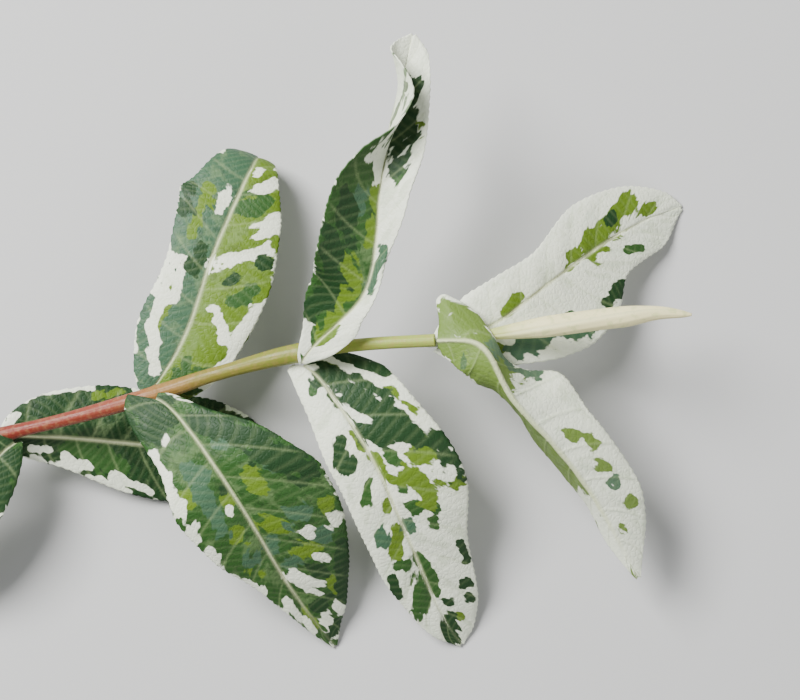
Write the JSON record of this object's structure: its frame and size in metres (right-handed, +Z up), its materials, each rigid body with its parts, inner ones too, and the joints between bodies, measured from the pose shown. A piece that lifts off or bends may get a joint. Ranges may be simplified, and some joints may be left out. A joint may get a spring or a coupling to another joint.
{
  "type": "variegated willow cutting",
  "caption": "Cut shoot tip of a variegated willow lying flat: a slender red to green stem with opposite leaves mottled green and white and a rolled young leaf at its tip.",
  "frame": {"origin": "middle of the underside of the bounding box, on the level surface that the drooping leaves rest on", "axes": "+X along the shoot from its cut end to its tip, +Z up, away from the surface it lies on"},
  "size_m": [0.1232, 0.0892, 0.0288],
  "materials": {
    "stem": "satin bark, red to yellow-green",
    "leaf_base_front": "satin leaf, mottled",
    "leaf_base_back": "satin leaf, mottled",
    "leaf_lower_back": "satin leaf, mottled",
    "leaf_lower_front": "satin leaf, mottled",
    "leaf_middle_upper": "satin leaf, mottled",
    "leaf_middle_lower": "satin leaf, mottled",
    "leaf_top_upper": "satin leaf, mottled",
    "leaf_top_lower": "satin leaf, mottled",
    "leaf_tip_rolled": "satin leaf, mottled"
  },
  "bodies": {
    "root": {"stem": "stem", "leaf_base_front": "leaf_base_front", "leaf_base_back": "leaf_base_back", "leaf_lower_back": "leaf_lower_back", "leaf_lower_front": "leaf_lower_front", "leaf_middle_upper": "leaf_middle_upper", "leaf_middle_lower": "leaf_middle_lower", "leaf_top_upper": "leaf_top_upper", "leaf_top_lower": "leaf_top_lower", "leaf_tip_rolled": "leaf_tip_rolled"}
  },
  "joints": []
}
